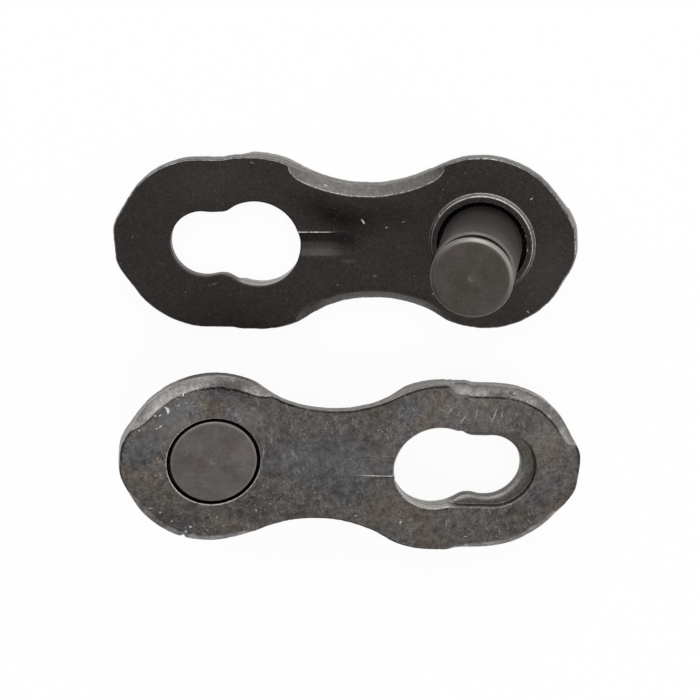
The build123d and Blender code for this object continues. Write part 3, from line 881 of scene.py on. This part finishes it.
# Here red is how bare, with the chamfer's painted highlight, green half the radius in mm, blue
# the shaft, and alpha how near the end in the plate
turned = node(tree, "Attribute", attribute_name="turned").node.outputs
zones = node(tree, "SeparateColor", {"Color": turned["Color"]}).node.outputs
GRAIN_SIZE, STAIN_SIZE, FLECK_SPACING = 0.12, 0.9, 0.5
grain = node(tree, "TexNoise", {
    "Vector": place, "Scale": 1 / (GRAIN_SIZE * MM), "Detail": 4, "Roughness": 0.6
})
stain = node(tree, "TexNoise", {
    "Vector": place, "Scale": 1 / (STAIN_SIZE * MM), "Detail": 5, "Roughness": 0.62
})
stained = node(tree, "MapRange", {"Value": stain, "From Min": 0.36, "From Max": 0.66})
speckle = node(tree, "MapRange", {
    "Value": grain, "From Min": 0.3, "From Max": 0.7, "To Min": 0.88, "To Max": 1.12
})
cells = node(tree, "TexVoronoi", {"Vector": place, "Scale": 1 / (FLECK_SPACING * MM)})
fleck = node(tree, "MapRange", {"Value": cells, "From Min": 0.07, "From Max": 0.03, "To Max": 0.3})
light = node(tree, "Math", {0: zones["Red"], 1: fleck}, operation="ADD", use_clamp=True)
rivet_end = node(tree, "Mix", {0: stained, 6: linear("#676260"), 7: linear("#585350")}, 2,
                 data_type="RGBA")
colour = linear("#4d4a42")
for amount, over in (
    (stained, linear("#5a5452")), (turned["Alpha"], rivet_end), (zones["Blue"], linear("#807d7a")),
):
    colour = node(tree, "Mix", {0: amount, 6: colour, 7: over}, 2, data_type="RGBA")
colour = node(tree, "VectorMath", {0: colour, 1: speckle}, operation="MULTIPLY")
colour = node(tree, "Mix", {0: light, 6: colour, 7: linear("#b8b5b1")}, 2, data_type="RGBA")
tree.links.new(colour, surface.inputs["Base Color"])
surface.inputs["Metallic"].default_value = 1.0
rough = node(tree, "MapRange", {"Value": stain, "To Min": 0.3, "To Max": 0.46})
tree.links.new(rough, surface.inputs["Roughness"])

# Lathe rings 0.09 mm apart, coarser than the real feed so that they show
RING_PITCH, RING_HEIGHT = 0.09, 0.006
rings = node(tree, "Math", {0: zones["Green"], 1: 2 * 2 * pi / RING_PITCH}, operation="MULTIPLY")
rings = node(tree, "Math", {0: rings}, operation="SINE")
relief = node(tree, "Math", {0: rings, 1: 0.15, 2: grain}, operation="MULTIPLY_ADD")
bump = node(tree, "Bump", {"Height": relief, "Strength": 0.2, "Distance": RING_HEIGHT * MM})
tree.links.new(bump, surface.inputs["Normal"])

for name in ("first", "second"):
    pin = make_pin(name + "_pin_finished", half_seat(name + "_pin"))
    pin.data.materials.append(pin_steel)
    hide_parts(name + "_pin")
    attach(pin, "root")


# ---------------------------------------------------------------------------------------------
# The stage, which is no part of the object: a sheet of matt white paper that keeps a soft shadow,
# a bright room with a softer light above it, one soft lamp behind, and the camera.
# ---------------------------------------------------------------------------------------------
FLOOR_HALF = 1.5
bm = bmesh.new()
bmesh.ops.create_grid(bm, x_segments=1, y_segments=1, size=FLOOR_HALF)
mesh = bpy.data.meshes.new("floor")
bm.to_mesh(mesh)
bm.free()
floor = bpy.data.objects.new("floor", mesh)
bpy.context.scene.collection.objects.link(floor)

# Matt white paper. Seen directly or in the metal it is mostly evened out to white, and it keeps
# a share of its own shading, so the object's shadow stays on it.
EVENED_SHARE = 0.93
paper, tree, surface = new_material("white_paper_sweep")
tree.nodes.remove(surface)
path = node(tree, "LightPath").node.outputs
seen = node(tree, "Math", {0: path["Is Camera Ray"], 1: path["Is Glossy Ray"]}, operation="ADD")
seen = node(tree, "Math", {0: seen, 1: path["Is Transmission Ray"]}, operation="ADD", use_clamp=True)
matt = node(tree, "BsdfDiffuse", {"Color": linear("#f0f0f0")})
white = node(tree, "Emission", {"Strength": 1.0})
evened = node(tree, "MixShader", {0: EVENED_SHARE, 1: matt, 2: white})
shade = node(tree, "MixShader", {0: seen, 1: matt, 2: evened})
output = next(n for n in tree.nodes if n.type == "OUTPUT_MATERIAL")
tree.links.new(shade, output.inputs["Surface"])
floor.data.materials.append(paper)

# The room: white up to the horizon, and above it a soft light that falls off towards the front
# left, so that level faces stay darker than the bevels that look to the back
SKY_TOWARDS, SKY_TURN = (0.55, 0.8, 0), (-0.56, 0)     # its bright side, and where it changes
SKY_DIM, SKY_BRIGHT = 0.25, 1.37
HORIZON = (0.03, 0.3)                  # heights between which the white gives way to it
world = bpy.data.worlds.new("studio")
bpy.context.scene.world = world
world.use_nodes = True
tree = world.node_tree
direction = node(tree, "TexCoord", out="Generated")
lean = node(tree, "VectorMath", {0: direction, 1: SKY_TOWARDS}, "Value", operation="DOT_PRODUCT")
sky = node(tree, "MapRange", {
    "Value": lean, "From Min": SKY_TURN[0], "From Max": SKY_TURN[1],
    "To Min": SKY_DIM, "To Max": SKY_BRIGHT,
})
height = node(tree, "SeparateXYZ", {0: direction}, "Z")
risen = node(tree, "MapRange", {"Value": height, "From Min": HORIZON[0], "From Max": HORIZON[1]})
strength = node(tree, "Mix", {0: risen, 2: 1.0, 3: sky})
background = next(n for n in tree.nodes if n.type == "BACKGROUND")
background.inputs["Color"].default_value = linear("#ffffff")
tree.links.new(strength, background.inputs["Strength"])

# One soft lamp behind the object, sizes in metres. A brightness of 1 looks white
TARGET = Vector((0, -5.4, 0)) * MM
LAMP_PLACE, LAMP_SIZE, LAMP_BRIGHTNESS = Vector((0.05, 0.36, 0.24)), 0.22, 2.2
light = bpy.data.lights.new("back_softbox", "AREA")
light.size = LAMP_SIZE
light.energy = LAMP_BRIGHTNESS * pi * LAMP_SIZE**2
lamp = bpy.data.objects.new("back_softbox", light)
aim = (TARGET - LAMP_PLACE).to_track_quat("-Z", "Y")
lamp.matrix_world = Matrix.Translation(LAMP_PLACE) @ aim.to_matrix().to_4x4()
lamp.visible_camera = False
bpy.context.scene.collection.objects.link(lamp)

# The camera looks down from above: mm from the target, degrees of tilt, swing and roll, and
# pixels per mm at the target in a square frame
DISTANCE, TILT, SWING, ROLL = 110, 20.6, 8.9, 0.41
PER_MM, FRAME, SENSOR = 21.69, 700, 36
swing, tilt = radians(SWING), radians(TILT)
back = Vector((sin(swing), cos(swing) * sin(tilt), cos(swing) * cos(tilt)))
right = Vector((cos(swing), -sin(swing) * sin(tilt), -sin(swing) * cos(tilt)))
above = back.cross(right)
roll = radians(ROLL)
right, above = right * cos(roll) + above * sin(roll), above * cos(roll) - right * sin(roll)
lens = bpy.data.cameras.new("camera")
lens.sensor_width = SENSOR
lens.lens = PER_MM * DISTANCE / FRAME * SENSOR
camera = bpy.data.objects.new("camera", lens)
turn = Matrix((right, above, back)).transposed().to_4x4()
camera.matrix_world = Matrix.Translation(TARGET + back * (DISTANCE * MM)) @ turn
bpy.context.scene.collection.objects.link(camera)
bpy.context.scene.camera = camera
bpy.context.scene.view_settings.view_transform = "Standard"
